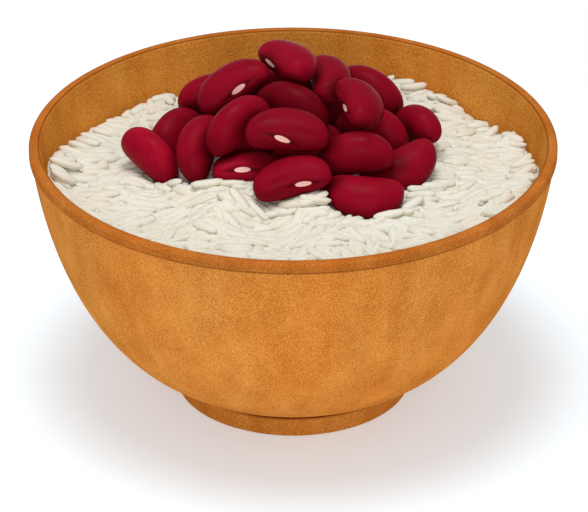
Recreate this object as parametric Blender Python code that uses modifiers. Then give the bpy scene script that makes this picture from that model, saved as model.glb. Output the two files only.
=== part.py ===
# Red beans and rice in a turned wooden bowl
#
# The bowl is one turned piece. Cooked rice fills it to just under the rim, and a heap of
# cooked kidney beans lies on the rice, a little behind the middle. Every bean is a piece of
# its own. The origin is on the surface that the bowl stands on, under its middle; the front
# of the dish faces -Y and +Z is up.

import bpy
import bmesh
import math
import numpy as np
from mathutils import Matrix

MM = 0.001

# Bowl
BOWL_HEIGHT = 68.0 * MM
RIM_RADIUS = 65.0 * MM
LIP_HEIGHT = 2.5 * MM
RIM_WIDTH = 2.8 * MM
RIM_ROUNDING = 0.7 * MM
FOOT_HEIGHT = 6.0 * MM
FOOT_TOP_RADIUS = 30.0 * MM
FOOT_BASE_RADIUS = 29.5 * MM
FOOT_LEDGE = 0.8 * MM
FLOOR_LEVEL = 12.0 * MM
BOWL_STEPS = 48
WALL_POINTS = 9
MERGE_DISTANCE = 0.05 * MM

# The bowl's curve, inside and out, is one family of superellipses
CURVE_TOP = 80.5 * MM
CURVE_RISE_POWER = 1.85
CURVE_RADIUS_POWER = 3.15
OUTSIDE_WIDEST = 65.5 * MM
OUTSIDE_BOTTOM = 3.0 * MM
INSIDE_WIDEST = 63.1 * MM

# Rice: a level that falls to the back, a hump under the beans, and banks in front of the beans,
# at either side and at the back, each given as its x and y, its reach both ways and its height
RICE_LEVEL = 58.0 * MM
RICE_FALL_BACK = 0.06
RICE_FALL_LEFT = 0.015
RICE_GAP = 0.35 * MM
LEVEL_TOLERANCE = 0.01 * MM
RICE_RINGS = 11
RICE_HUMP = 5.5 * MM
HUMP_MIDDLE = (-1.0 * MM, 8.0 * MM)
HUMP_REACH = (44.0 * MM, 38.0 * MM)
RICE_BANKS = (
    (-12.0 * MM, -17.0 * MM, 17.0 * MM, 8.0 * MM, 2.4 * MM),
    (-62.0 * MM, 2.0 * MM, 9.0 * MM, 24.0 * MM, 5.5 * MM),
    (62.0 * MM, -10.0 * MM, 12.0 * MM, 15.0 * MM, 2.6 * MM),
    (29.0 * MM, 51.0 * MM, 12.0 * MM, 12.0 * MM, 2.6 * MM),
)
RICE_BUMPS = 6
RICE_BUMP_HEIGHT = 0.4 * MM
RICE_BUMP_SPACING = (14.0 * MM, 32.0 * MM)

# A middling cooked kidney bean, and how far its ends bend to the side of its eye
BEAN_LENGTH = 19.6 * MM
BEAN_WIDTH = 11.3 * MM
BEAN_THICKNESS = 9.1 * MM
BEAN_BEND = 2.2 * MM
BEND_MIDDLE = 0.35
BEND_LIMIT = 1.3
BEAN_FULLNESS = 2.5
BEAN_SEGMENTS = 10
BEAN_RINGS = 7
BEAN_GAP = 0.35 * MM

# The middle that the heap of beans is laid round
HEAP_X = -1.0 * MM
HEAP_Y = 20.0 * MM

# The dish is looked at from the front and above: beans ease apart mostly along this line
SIGHT_ELEVATION = math.radians(28.4)
KEPT_ACROSS_SIGHT = 0.45

SEED = 7


# Beans on the seen side, each laid by hand: x, y and z of its middle in millimetres, heading,
# pitch and roll in degrees, and its size against the middling bean
SEEN_BEANS = {
    "top": (-2, 13, 80.3, -55, -5, -5, 0.99),
    "top_right": (8, 15, 77.5, -85, 0, 0, 0.95),
    "left_high": (-14, 13, 77, 20, 30, 5, 1.02),
    "left_back": (-20, 23, 67.9, 35, -5, 105, 0.97),
    "left_low": (-30, 9, 64.3, 55, 15, 70, 0.95),
    "far_left": (-34.5, 1, 63, -52, -16, 100, 0.96),
    "left_upright": (-21.2, -6, 68.3, 80, 35, 40, 0.95),
    "left_slanting": (-13, -5, 74.2, 25, 22, 110, 0.98),
    "middle": (-2, -10, 75.2, -5, -5, 15, 1.05),
    "behind_middle": (0, 4, 75.2, -30, -10, 85, 1.03),
    "right_end_on": (16, 0, 77, -75, -5, -15, 0.97),
    "right_back": (21, 20, 69.3, -35, -15, 100, 1.0),
    "right": (29, 13, 66.3, -55, 10, 95, 0.92),
    "right_under": (19, 5, 67, -5, -5, 80, 0.97),
    "right_middle": (15, -10.5, 68.6, 0, 5, 95, 1.0),
    "right_low": (26, -8, 64, 20, 15, -150, 1.02),
    "front_right": (17, -20, 63, -5, -5, -155, 1.0),
    "front_middle": (0, -18, 66, 5, 10, 8, 1.01),
    "front_left": (-11, -9, 64.4, 0, -5, -12, 1.0),
}

# Lower beans that show through the gaps between those
LOWER_BEANS = {
    "under_top": (-5, 12, 70, 10, 0, 100, 0.95),
    "under_slanting": (-10, 0, 65, 5, 10, 100, 0.97),
    "under_right": (11, 14, 68, -65, -10, 100, 0.95),
    "under_front": (9, 2, 67.5, -15, 0, 100, 0.97),
    "under_front_right": (13, -10, 60.5, 5, 0, 100, 0.97),
    "under_middle": (3, -6, 66.5, 10, 0, 90, 0.97),
    "under_left": (-21, 12, 63, 40, 20, 100, 0.95),
    "behind_top": (0, 25, 70.5, 15, 0, 100, 0.9),
}

# Rows round the back, where the heap is narrower: height and reach from the heap's middle in
# millimetres, number of beans, and the bearings of the first and the last, from +X
BACK_ROWS = (
    (60, 23, 5, 30, 142),
    (65, 16, 2, 50, 105),
)
BACK_BEARING_SWING = 5
BACK_HEADING_SWING = 30
BACK_LEVEL_SWING = 0.8
BACK_PITCH_SWING = 12
BACK_ROLL = (40, 140)
BACK_SIZE = (0.94, 1.05)

# Easing the beans apart: how firmly each kind keeps its place, and how far one round moves,
# turns and pulls back a bean
SEEN_FIRMNESS = 3.0
UNSEEN_FIRMNESS = 0.3
EASING_ROUNDS = 200
EASING_MOVE = 0.8
EASING_TURN = 0.15
EASING_TURN_ARM = 60.0 * MM
EASING_PULL = 0.02
EASING_DONE = 0.05 * MM
MOST_TURN = 0.05
NEAR_LENGTHS = 1.15
SLOPE_STEP = 0.05 * MM


# A clean scene
for old in list(bpy.data.objects):
    bpy.data.objects.remove(old, do_unlink=True)


def new_collection(name):
    """A collection linked to the scene."""
    collection = bpy.data.collections.new(name)
    bpy.context.scene.collection.children.link(collection)
    return collection


DISH = new_collection("red_beans_and_rice")
CUTTERS = new_collection("cutters")


def material(name, colour, roughness):
    """A Principled material with one colour and roughness, and no metal in it."""
    made = bpy.data.materials.new(name)
    made.use_nodes = True
    shader = made.node_tree.nodes["Principled BSDF"]
    shader.inputs["Base Color"].default_value = (*colour, 1.0)
    shader.inputs["Roughness"].default_value = roughness
    shader.inputs["Metallic"].default_value = 0.0
    return made


WOOD = material("turned_wood", (0.62, 0.24, 0.045), 0.55)
RICE = material("cooked_rice", (0.76, 0.71, 0.60), 0.6)
SKIN = material("bean_skin", (0.27, 0.008, 0.02), 0.35)


# Turned bowl
def curve_points(widest, bottom, first_radius, top_level, count):
    """Points of one superellipse, from first_radius at the bottom up to top_level.

    (r / widest)^p + ((CURVE_TOP - z) / (CURVE_TOP - bottom))^q = 1, walked by its angle.
    """
    depth = CURVE_TOP - bottom
    start = math.asin((first_radius / widest) ** (CURVE_RADIUS_POWER / 2))
    end = math.acos(((CURVE_TOP - top_level) / depth) ** (CURVE_RISE_POWER / 2))
    points = []
    for k in range(count + 1):
        angle = start + (end - start) * k / count
        radius = widest * math.sin(angle) ** (2 / CURVE_RADIUS_POWER)
        level = CURVE_TOP - depth * max(math.cos(angle), 0.0) ** (2 / CURVE_RISE_POWER)
        points.append((radius, level))
    return points


def inside_wall(gap, top_level):
    """The bowl's inner curve from the axis up to top_level, moved inwards by gap."""
    return curve_points(INSIDE_WIDEST - gap, FLOOR_LEVEL + gap, 0.0, top_level, WALL_POINTS)


def inside_radius(gap, level):
    """Radius of the bowl's inner curve at a level, moved inwards by gap."""
    depth = CURVE_TOP - FLOOR_LEVEL - gap
    share = 1 - ((CURVE_TOP - level) / depth) ** CURVE_RISE_POWER
    return (INSIDE_WIDEST - gap) * share ** (1 / CURVE_RADIUS_POWER)


def turned(name, profile, steps):
    """A piece turned about Z from a closed half outline that starts and ends on the axis."""
    mesh = bpy.data.meshes.new(name)
    corners = [(radius, 0.0, level) for radius, level in profile]
    mesh.from_pydata(corners, [(k, k + 1) for k in range(len(corners) - 1)], [])
    piece = bpy.data.objects.new(name, mesh)
    DISH.objects.link(piece)
    screw = piece.modifiers.new("turning", "SCREW")
    screw.steps = steps
    screw.render_steps = steps
    screw.use_merge_vertices = True
    screw.merge_threshold = MERGE_DISTANCE
    screw.use_smooth_shade = True
    return piece


def make_bowl():
    """The bowl: inner wall, a rounded rim with a plain lip, the belly and a flat foot."""
    lip_level = BOWL_HEIGHT - LIP_HEIGHT
    rounding_level = BOWL_HEIGHT - RIM_ROUNDING
    inner = inside_wall(0.0, rounding_level)
    outer = curve_points(OUTSIDE_WIDEST, OUTSIDE_BOTTOM, FOOT_TOP_RADIUS - FOOT_LEDGE,
                         lip_level, WALL_POINTS)
    rim = [
        (RIM_RADIUS - RIM_WIDTH + RIM_ROUNDING, BOWL_HEIGHT),
        (RIM_RADIUS - RIM_ROUNDING, BOWL_HEIGHT),
        (RIM_RADIUS, rounding_level),
        (RIM_RADIUS, lip_level),
    ]
    foot = [
        (FOOT_TOP_RADIUS, FOOT_HEIGHT),
        (FOOT_BASE_RADIUS, 0.0),
        (0.0, 0.0),
    ]
    bowl = turned("bowl", inner + rim + outer[::-1] + foot, BOWL_STEPS)
    bowl.data.materials.append(WOOD)
    return bowl


# Kidney beans
def bean_form(units, size, grow=0.0):
    """Points of a bean from points of a unit ball whose poles are on X.

    The length and the round section are squared up by BEAN_FULLNESS, and both ends bend to
    -Y, the side of the eye, by BEAN_BEND times the square of their share of the half length.
    """
    along = np.sign(units[:, 0]) * np.abs(units[:, 0]) ** (2 / BEAN_FULLNESS)
    across = np.linalg.norm(units[:, 1:], axis=1)
    swell = np.where(across > 0, across ** (2 / BEAN_FULLNESS) / np.maximum(across, 1e-9), 0.0)
    half = np.array([BEAN_LENGTH, BEAN_WIDTH, BEAN_THICKNESS]) * size / 2 + grow
    form = np.empty_like(units)
    form[:, 0] = half[0] * along
    form[:, 1] = half[1] * units[:, 1] * swell - BEAN_BEND * size * (along ** 2 - BEND_MIDDLE)
    form[:, 2] = half[2] * units[:, 2] * swell
    return form


def bean_measure(points, size):
    """How far out points are, in a bean's own axes: under 1 inside it, 1 on its skin."""
    half = np.array([BEAN_LENGTH, BEAN_WIDTH, BEAN_THICKNESS]) * size / 2
    along = points[..., 0] / half[0]
    bent = points[..., 1] + BEAN_BEND * size * (np.minimum(along ** 2, BEND_LIMIT) - BEND_MIDDLE)
    section = (bent / half[1]) ** 2 + (points[..., 2] / half[2]) ** 2
    total = np.abs(along) ** BEAN_FULLNESS + section ** (BEAN_FULLNESS / 2)
    return total ** (1 / BEAN_FULLNESS)


def turn_matrix(heading, pitch, roll):
    """A bean's turn: rolled about its length, then its nose raised, then headed, in degrees."""
    turn = Matrix.Rotation(math.radians(heading), 3, "Z")
    turn = turn @ Matrix.Rotation(math.radians(-pitch), 3, "Y")
    turn = turn @ Matrix.Rotation(math.radians(roll), 3, "X")
    return np.array(turn)


def unit_ball():
    """A unit ball with its poles on X, as a bmesh."""
    ball = bmesh.new()
    bmesh.ops.create_uvsphere(ball, u_segments=BEAN_SEGMENTS, v_segments=BEAN_RINGS, radius=1.0)
    bmesh.ops.rotate(ball, verts=ball.verts, cent=(0, 0, 0),
                     matrix=Matrix.Rotation(math.radians(90), 3, "Y"))
    return ball


def bean_object(name, bean, collection, grow=0.0):
    """One bean as an object at its place, its skin moved outwards by grow."""
    ball = unit_ball()
    units = np.array([vert.co[:] for vert in ball.verts])
    for vert, point in zip(ball.verts, bean_form(units, bean["size"], grow)):
        vert.co = point
    mesh = bpy.data.meshes.new(name)
    ball.to_mesh(mesh)
    ball.free()
    mesh.shade_smooth()
    made = bpy.data.objects.new(name, mesh)
    collection.objects.link(made)
    place = Matrix(bean["turn"].tolist()).to_4x4()
    place.translation = bean["place"]
    made.matrix_world = place
    return made


def laid_bean(row, firmness):
    """A bean from one row of the lists laid by hand."""
    return {
        "place": np.array(row[:3], float) * MM,
        "turn": turn_matrix(*row[3:6]),
        "size": row[6],
        "firmness": firmness,
    }


def back_beans(chance):
    """Beans in rows round the back of the heap, lying roughly along each row."""
    beans = []
    for level, reach, count, first, last in BACK_ROWS:
        for k in range(count):
            bearing = first + (last - first) * k / (count - 1)
            bearing = math.radians(bearing + chance.uniform(-BACK_BEARING_SWING, BACK_BEARING_SWING))
            x = HEAP_X / MM + reach * math.cos(bearing)
            y = HEAP_Y / MM + reach * math.sin(bearing)
            heading = math.degrees(bearing) + 90
            heading += chance.uniform(-BACK_HEADING_SWING, BACK_HEADING_SWING)
            pitch = chance.uniform(-BACK_PITCH_SWING, BACK_PITCH_SWING)
            roll = chance.uniform(*BACK_ROLL)
            size = chance.uniform(*BACK_SIZE)
            z = level + chance.uniform(-BACK_LEVEL_SWING, BACK_LEVEL_SWING)
            row = (x, y, z, heading, pitch, roll, size)
            beans.append(laid_bean(row, UNSEEN_FIRMNESS))
    return beans


def small_turn(spin):
    """The turn matrix of a small rotation vector, cut to MOST_TURN radians."""
    angle = np.linalg.norm(spin)
    if angle < 1e-9:
        return np.eye(3)
    axis = spin / angle
    angle = min(angle, MOST_TURN)
    cross = np.array([[0, -axis[2], axis[1]], [axis[2], 0, -axis[0]], [-axis[1], axis[0], 0]])
    return np.eye(3) + math.sin(angle) * cross + (1 - math.cos(angle)) * cross @ cross


def overlap(one, other, skin):
    """Where one bean's skin lies deepest in another, or nearer than the gap.

    Gives the point, the outward direction of the other bean there, and the depth.
    """
    points = skin * one["size"] @ one["turn"].T + one["place"]
    inner = (points - other["place"]) @ other["turn"]
    measure = bean_measure(inner, other["size"])
    deepest = int(np.argmin(measure))
    point = inner[deepest]
    steps = np.eye(3) * SLOPE_STEP
    slope = bean_measure(point + steps, other["size"]) - bean_measure(point - steps, other["size"])
    slope = slope / (np.linalg.norm(slope) + 1e-12)
    outward_share = abs(slope @ point)
    depth = (1 / measure[deepest] - 1) * outward_share + BEAN_GAP
    return points[deepest], other["turn"] @ slope, depth


def ease_apart(beans):
    """Moves and turns overlapping beans until each is clear of the others.

    Each overlapping pair is pushed apart along the skin's outward direction, the less firm
    bean further. A pull back to where a bean was laid fades as the rounds go on. Beans keep
    their place as seen from the front, because a move across the line of sight is cut down.
    """
    ball = unit_ball()
    skin = bean_form(np.array([vert.co[:] for vert in ball.verts]), 1.0)
    ball.free()
    sight = np.array([0.0, -math.cos(SIGHT_ELEVATION), math.sin(SIGHT_ELEVATION)])
    laid = [bean["place"].copy() for bean in beans]
    reach = BEAN_LENGTH * NEAR_LENGTHS
    for turn_number in range(EASING_ROUNDS):
        moves = np.zeros((len(beans), 3))
        spins = np.zeros((len(beans), 3))
        worst = 0.0
        for i, one in enumerate(beans):
            for j, other in enumerate(beans):
                if i == j or np.linalg.norm(one["place"] - other["place"]) > reach:
                    continue
                point, outward, depth = overlap(one, other, skin)
                if depth <= 0:
                    continue
                worst = max(worst, depth)
                give = other["firmness"] / (one["firmness"] + other["firmness"])
                moves[i] += outward * depth * give / 2
                moves[j] -= outward * depth * (1 - give) / 2
                push = outward * depth / MM / EASING_TURN_ARM
                spins[i] += np.cross(point - one["place"], push) * give * EASING_TURN
                spins[j] -= np.cross(point - other["place"], push) * (1 - give) * EASING_TURN
        pull = EASING_PULL * (1 - turn_number / EASING_ROUNDS)
        for k, bean in enumerate(beans):
            along = (moves[k] @ sight) * sight
            move = along + KEPT_ACROSS_SIGHT * (moves[k] - along)
            bean["place"] = bean["place"] + move * EASING_MOVE + (laid[k] - bean["place"]) * pull
            bean["turn"] = small_turn(spins[k]) @ bean["turn"]
        if worst < EASING_DONE and turn_number > EASING_ROUNDS // 2:
            break
    return worst


def make_beans():
    """Every bean of the heap, with the seen ones first."""
    chance = np.random.RandomState(SEED)
    beans = [laid_bean(row, SEEN_FIRMNESS) for row in SEEN_BEANS.values()]
    beans += [laid_bean(row, UNSEEN_FIRMNESS) for row in LOWER_BEANS.values()]
    beans += back_beans(chance)
    worst = ease_apart(beans)
    print("beans:", len(beans), "nearest pair closer than the gap by", round(worst / MM, 3), "mm")
    for number, bean in enumerate(beans, 1):
        made = bean_object(f"bean_{number:02d}", bean, DISH)
        made.data.materials.append(SKIN)
    return beans


# Rice
def rice_level(x, y, waves):
    """Height of the rice at x, y: a sloping level with low bumps, banks and a hump."""
    level = RICE_LEVEL - RICE_FALL_BACK * y + RICE_FALL_LEFT * x
    for bank_x, bank_y, reach_x, reach_y, height in RICE_BANKS:
        level += height * math.exp(-((x - bank_x) / reach_x) ** 2 - ((y - bank_y) / reach_y) ** 2)
    from_hump = math.hypot((x - HUMP_MIDDLE[0]) / HUMP_REACH[0], (y - HUMP_MIDDLE[1]) / HUMP_REACH[1])
    level += RICE_HUMP * max(0.0, 1 - from_hump ** 2)
    for bearing, spacing, start in waves:
        along = x * math.cos(bearing) + y * math.sin(bearing)
        level += RICE_BUMP_HEIGHT * math.sin(2 * math.pi * along / spacing + start)
    return level


def make_rice(beans):
    """The heap of rice: turned to fit the bowl, its top raised into bumps, cut by the beans."""
    wall = inside_wall(RICE_GAP, RICE_LEVEL)
    edge = wall[-1][0]
    top = [(edge * k / RICE_RINGS, RICE_LEVEL) for k in range(RICE_RINGS)]
    shape = turned("rice_turned", top + wall[::-1], BOWL_STEPS)
    depsgraph = bpy.context.evaluated_depsgraph_get()
    mesh = bpy.data.meshes.new_from_object(shape.evaluated_get(depsgraph))
    bpy.data.objects.remove(shape, do_unlink=True)
    mesh.name = "rice"
    rice = bpy.data.objects.new("rice", mesh)
    DISH.objects.link(rice)
    chance = np.random.RandomState(SEED)
    waves = []
    for _ in range(RICE_BUMPS):
        spacing = chance.uniform(*RICE_BUMP_SPACING)
        waves.append((chance.uniform(0, math.pi), spacing, chance.uniform(0, 2 * math.pi)))
    for vert in mesh.vertices:
        if vert.co.z < RICE_LEVEL - LEVEL_TOLERANCE:
            continue
        vert.co.z = rice_level(vert.co.x, vert.co.y, waves)
        radius = math.hypot(vert.co.x, vert.co.y)
        if radius > edge - LEVEL_TOLERANCE:
            fitted = inside_radius(RICE_GAP, vert.co.z) / radius
            vert.co.x *= fitted
            vert.co.y *= fitted
    mesh.materials.clear()
    mesh.materials.append(RICE)
    for number, bean in enumerate(beans, 1):
        if bean["place"][2] < RICE_LEVEL + RICE_HUMP + BEAN_LENGTH / 2:
            bean_object(f"cut_{number:02d}", bean, CUTTERS, grow=RICE_GAP)
    for cutter in CUTTERS.objects:
        cutter.hide_render = True
        cutter.display_type = "WIRE"
    cut = rice.modifiers.new("beans", "BOOLEAN")
    cut.operation = "DIFFERENCE"
    cut.solver = "EXACT"
    cut.operand_type = "COLLECTION"
    cut.collection = CUTTERS
    return rice


make_bowl()
HEAP = make_beans()
make_rice(HEAP)
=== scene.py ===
# %% [markdown]
# # Red beans and rice in a turned wooden bowl
#
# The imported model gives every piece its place. This script makes the surfaces that are seen:
# the turned bowl with its rim and foot, the kidney beans with their pale eyes, and the
# cooked rice, grain by grain. All lengths are in metres, and the front of the dish faces -Y.

# %% Load the fixed frame
import bpy
import math
import numpy as np
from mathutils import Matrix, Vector


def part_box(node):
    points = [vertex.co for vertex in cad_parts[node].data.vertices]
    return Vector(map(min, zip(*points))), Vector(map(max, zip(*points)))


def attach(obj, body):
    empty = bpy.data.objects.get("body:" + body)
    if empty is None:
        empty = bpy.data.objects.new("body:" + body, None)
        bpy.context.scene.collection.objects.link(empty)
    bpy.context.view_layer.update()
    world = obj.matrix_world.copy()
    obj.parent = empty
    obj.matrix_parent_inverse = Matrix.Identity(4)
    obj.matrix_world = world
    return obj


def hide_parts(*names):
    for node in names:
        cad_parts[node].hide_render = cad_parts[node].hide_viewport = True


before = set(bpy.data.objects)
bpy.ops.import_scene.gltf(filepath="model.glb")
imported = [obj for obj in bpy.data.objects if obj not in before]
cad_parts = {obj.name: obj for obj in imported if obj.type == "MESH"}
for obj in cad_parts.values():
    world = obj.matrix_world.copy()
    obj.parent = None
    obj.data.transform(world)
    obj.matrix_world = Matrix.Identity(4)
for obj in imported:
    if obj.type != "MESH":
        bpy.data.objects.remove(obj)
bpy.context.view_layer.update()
MM = 0.001
print("nodes in the frame:", len(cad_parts))

# %% [markdown]
# ## Closed round forms
#
# A bowl, a bean and a grain of rice are all rings of points laid along a path, shut by a tip
# at each end. They could be spun one by one, but one helper that turns whole arrays of rings
# into a mesh makes a bean and a thousand grains alike. The rings run counterclockwise when
# looked at from the far end, which makes the faces point outwards.

# %% Rings to mesh
def round_turn(count):
    """Angles that go once round in even steps."""
    return np.arange(count) * 2 * math.pi / count


def compass(count):
    """Flat directions (count, 2) at these angles."""
    angle = round_turn(count)
    return np.stack([np.cos(angle), np.sin(angle)], 1)


def ring_faces(rows, around):
    """Corner numbers of one closed form: quads between rings, and a fan of triangles at each tip."""
    here = np.arange(around)
    there = (here + 1) % around
    start = (np.arange(rows - 1) * around)[:, None]
    quads = np.stack([start + here, start + there, start + around + there, start + around + here], -1)
    first_tip = np.full(around, rows * around)
    end = (rows - 1) * around
    fans = np.concatenate([
        np.stack([first_tip, there, here], -1),
        np.stack([first_tip + 1, end + here, end + there], -1),
    ])
    return quads.reshape(-1, 4), fans


def closed_rounds(name, rings, tips):
    """A mesh of many closed forms. rings is (copies, rows, around, 3) and tips is (copies, 2, 3)."""
    copies, rows, around, _ = rings.shape
    points = np.concatenate([rings.reshape(copies, -1, 3), tips], 1)
    quads, fans = ring_faces(rows, around)
    shift = (np.arange(copies) * points.shape[1])[:, None, None]
    corners = np.concatenate([(quads + shift).ravel(), (fans + shift).ravel()])
    sizes = np.concatenate([np.full(len(quads) * copies, 4), np.full(len(fans) * copies, 3)])
    mesh = bpy.data.meshes.new(name)
    mesh.vertices.add(points.shape[0] * points.shape[1])
    mesh.vertices.foreach_set("co", points.ravel())
    mesh.loops.add(len(corners))
    mesh.loops.foreach_set("vertex_index", corners)
    mesh.polygons.add(len(sizes))
    mesh.polygons.foreach_set("loop_start", np.concatenate([[0], np.cumsum(sizes)[:-1]]))
    mesh.polygons.foreach_set("use_smooth", np.ones(len(sizes), bool))
    mesh.update(calc_edges=True)
    return mesh


# %% Numbers on a mesh, and a mesh as a piece
def paint(mesh, name, ring_values, tip_values):
    """A number at every point, as a named attribute that a material can read."""
    copies = len(ring_values)
    values = np.concatenate([ring_values.reshape(copies, -1), tip_values.reshape(copies, -1)], 1)
    mesh.attributes.new(name, "FLOAT", "POINT").data.foreach_set("value", values.ravel())


def new_object(name, data):
    """An object in the scene that holds a mesh, a lamp or a camera."""
    made = bpy.data.objects.new(name, data)
    bpy.context.scene.collection.objects.link(made)
    return made


def show(mesh, material, node):
    """The mesh as a piece of the dish, in the place of the node that it stands for."""
    piece = new_object(mesh.name, mesh)
    mesh.materials.append(material)
    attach(piece, "root")
    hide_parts(node)


# %% [markdown]
# ## Finishes
#
# No real surface has one even colour. Painted pictures could give the changes, but patterns
# made by nodes are sharp at any distance and need no unwrapping. Two of them are shared by all
# the finishes and are built once, as node groups: cloudy patches, and fine specks. Each gives
# a number round one, and together they move a finish between its dark and its light colour.
# They read the object's own coordinates in metres, so a scale of 200 makes patches of about
# five millimetres.

# %% Helpers for nodes
MIX_SHARE, MIX_FIRST, MIX_SECOND, MIX_RESULT = 0, 6, 7, 2   # the colour sockets of a Mix node


def add_node(tree, kind, settings=None, values=None):
    """A node with its settings and the values of its sockets, by name or by number."""
    made = tree.nodes.new(kind)
    for key, value in (settings or {}).items():
        setattr(made, key, value)
    for key, value in (values or {}).items():
        made.inputs[key].default_value = value
    return made


def feed(tree, socket, term):
    """Gives a socket a number, a colour, or what another socket puts out."""
    if isinstance(term, bpy.types.NodeSocket):
        tree.links.new(term, socket)
    else:
        socket.default_value = (*term, 1.0) if isinstance(term, tuple) else term


def calculate(tree, operation, *terms):
    """A Math node. A term is a number or a socket, and the result is its output socket."""
    made = add_node(tree, "ShaderNodeMath", {"operation": operation})
    for place, term in enumerate(terms):
        feed(tree, made.inputs[place], term)
    return made.outputs[0]


def attribute(tree, name):
    """The socket of a number that is painted on the mesh."""
    return add_node(tree, "ShaderNodeAttribute", {"attribute_name": name}).outputs["Fac"]


# %% Helpers for colours
def blend_colour(tree, share, first, second, blend_type="MIX"):
    """Two colours mixed by a share. Each of the three is a value or a socket."""
    made = add_node(tree, "ShaderNodeMix", {"data_type": "RGBA", "blend_type": blend_type})
    for place, term in ((MIX_SHARE, share), (MIX_FIRST, first), (MIX_SECOND, second)):
        feed(tree, made.inputs[place], term)
    return made.outputs[MIX_RESULT]


def tinted(tree, share, colour, tint):
    """A colour that is multiplied by a tint, as far as the share says."""
    return blend_colour(tree, share, colour, blend_colour(tree, 1.0, colour, tint, "MULTIPLY"))


def mix_share(tree, *factors):
    """The share of the lighter colour, from 0 to 1. It is a half where every factor is one."""
    total = factors[0]
    for factor in factors[1:]:
        total = calculate(tree, "ADD", total, factor)
    share = calculate(tree, "SUBTRACT", total, len(factors) - 0.5)
    return calculate(tree, "MINIMUM", calculate(tree, "MAXIMUM", share, 0.0), 1.0)


# %% Cloudy patches and fine specks, as groups
def noise_group(name, detail, roughness):
    """A group that gives 1, more or less by Amount, in patches of 1 / Scale metres."""
    group = bpy.data.node_groups.new(name, "ShaderNodeTree")
    group.interface.new_socket("Place", in_out="INPUT", socket_type="NodeSocketVector")
    for label in ("Scale", "Amount"):
        group.interface.new_socket(label, in_out="INPUT", socket_type="NodeSocketFloat")
    group.interface.new_socket("Factor", in_out="OUTPUT", socket_type="NodeSocketFloat")
    given = group.nodes.new("NodeGroupInput").outputs
    noise = add_node(group, "ShaderNodeTexNoise", {"noise_dimensions": "3D"},
                     {"Detail": detail, "Roughness": roughness})
    group.links.new(given["Place"], noise.inputs["Vector"])
    group.links.new(given["Scale"], noise.inputs["Scale"])
    swing = calculate(group, "SUBTRACT", noise.outputs[0], 0.5)
    swing = calculate(group, "MULTIPLY", swing, given["Amount"])
    factor = calculate(group, "ADD", swing, 1.0)
    group.links.new(factor, group.nodes.new("NodeGroupOutput").inputs["Factor"])
    return group


PATCHES = noise_group("cloudy_patches", detail=3.0, roughness=0.55)
SPECKS = noise_group("fine_specks", detail=1.0, roughness=0.5)
print("shared patterns:", PATCHES.name, "and", SPECKS.name)

# %% Helpers for a finish
def place_group(tree, group, place, scale, amount):
    """One of the two groups in a material, with its own scale and amount."""
    made = add_node(tree, "ShaderNodeGroup", {"node_tree": group}, {"Scale": scale, "Amount": amount})
    tree.links.new(place, made.inputs["Place"])
    return made.outputs["Factor"]


def new_finish(name, roughness, specular):
    """A material, its nodes, its shader, and the socket of the object's own coordinates."""
    made = bpy.data.materials.new(name)
    made.use_nodes = True
    tree = made.node_tree
    shader = tree.nodes["Principled BSDF"]
    shader.inputs["Roughness"].default_value = roughness
    shader.inputs["Specular IOR Level"].default_value = specular
    place = add_node(tree, "ShaderNodeTexCoord").outputs["Object"]
    return made, tree, shader, place


def stretched(tree, place, scale):
    """The coordinates multiplied by a scale on each axis, which draws a pattern out."""
    made = add_node(tree, "ShaderNodeMapping", values={"Scale": scale})
    tree.links.new(place, made.inputs["Vector"])
    return made.outputs[0]


def bump(tree, shader, height, strength, distance):
    """A Bump node from a height, in metres of distance, to the shader's normal."""
    made = add_node(tree, "ShaderNodeBump", values={"Strength": strength, "Distance": distance})
    tree.links.new(height, made.inputs["Height"])
    tree.links.new(made.outputs[0], shader.inputs["Normal"])


# %% [markdown]
# ## The bowl
#
# A wooden bowl is cut on a lathe, so its whole form is one outline turned about its axis: a
# flat foot, a full belly, a small lip below the rim and a smooth inside. The outline follows
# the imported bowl, and adds what a gouge leaves: soft corners, a fine line cut along the
# inner edge of the rim, another below the lip and one above the foot. A drawn curve with a
# Screw modifier would give the same form, but here the rings can lie close together where
# the lines are and far apart where the wall is plain, so the lines are real cuts.

# %% Outline of the bowl
RIM_RADIUS, _, BOWL_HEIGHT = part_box("bowl")[1]
RIM_WIDTH = 2.8 * MM
LIP_HEIGHT = 2.5 * MM
OUTER_ROUNDING = 1.0 * MM
INNER_ROUNDING = 0.5 * MM
FOOT_HEIGHT = 6.0 * MM
FOOT_TOP_RADIUS = 30.0 * MM
FOOT_BASE_RADIUS = 29.5 * MM
FOOT_ROUNDING = 0.8 * MM
FLOOR_LEVEL = 12.0 * MM
CURVE_TOP = 80.5 * MM
CURVE_RISE_POWER = 1.85
CURVE_RADIUS_POWER = 3.15
OUTSIDE_WIDEST = 65.5 * MM
OUTSIDE_BOTTOM = 3.0 * MM
INSIDE_WIDEST = 63.1 * MM
CURVE_COUNT = 120
FOOT_STEP = (0.4 * MM, 0.3 * MM)    # how far the foot's upper edge is cut back, across and down
LIP_STEP = (0.15 * MM, 0.2 * MM)    # the same for the lip's lower edge
BELLY_INSET = 0.6 * MM
INSIDE_START = 0.4 * MM
print("bowl:", round(2 * RIM_RADIUS / MM, 1), "mm across,", round(BOWL_HEIGHT / MM, 1), "mm high")


def wall_curve(widest, bottom, first_radius, top_level, count):
    """Points (r, z) of (r / widest)^p + ((top - z) / (top - bottom))^q = 1, walked by its angle."""
    depth = CURVE_TOP - bottom
    start = math.asin((first_radius / widest) ** (CURVE_RADIUS_POWER / 2))
    end = math.acos(((CURVE_TOP - top_level) / depth) ** (CURVE_RISE_POWER / 2))
    angle = np.linspace(start, end, count)
    radius = widest * np.sin(angle) ** (2 / CURVE_RADIUS_POWER)
    level = CURVE_TOP - depth * np.cos(angle) ** (2 / CURVE_RISE_POWER)
    return np.stack([radius, level], 1)


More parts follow.
